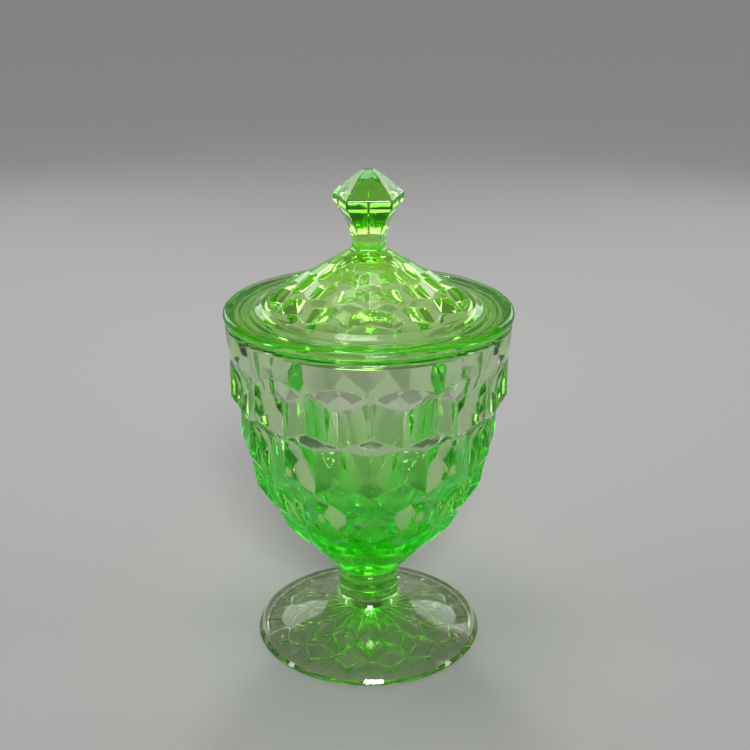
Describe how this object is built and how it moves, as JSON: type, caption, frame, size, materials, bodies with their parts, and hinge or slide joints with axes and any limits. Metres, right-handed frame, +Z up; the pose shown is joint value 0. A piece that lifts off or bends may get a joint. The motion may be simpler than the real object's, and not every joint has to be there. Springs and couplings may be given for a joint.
{
  "type": "covered footed glass dish",
  "caption": "Footed bowl of pale green pressed glass with a relief of stacked blocks, and a loose domed lid with a faceted knob.",
  "frame": {"origin": "middle of the foot's rest plane, the lowest point of the dish", "axes": "+Z up along the dish's axis, -Y towards the front, where one flat side of the knob and one upright edge of the bowl's second row of blocks face"},
  "size_m": [0.0952, 0.0952, 0.1651],
  "materials": {
    "jar_glass": "clear fire-polished pressed glass, pale green, deeper green where it is thick",
    "lid_glass": "clear fire-polished pressed glass, green"
  },
  "bodies": {
    "jar": {"footed_bowl": "jar_glass"},
    "lid": {"lid": "lid_glass"}
  },
  "joints": [
    {"name": "lid_lift", "type": "slide", "parent": "jar", "child": "lid", "axis": [0, 0, 1], "range_m": [0, 0.08]}
  ]
}
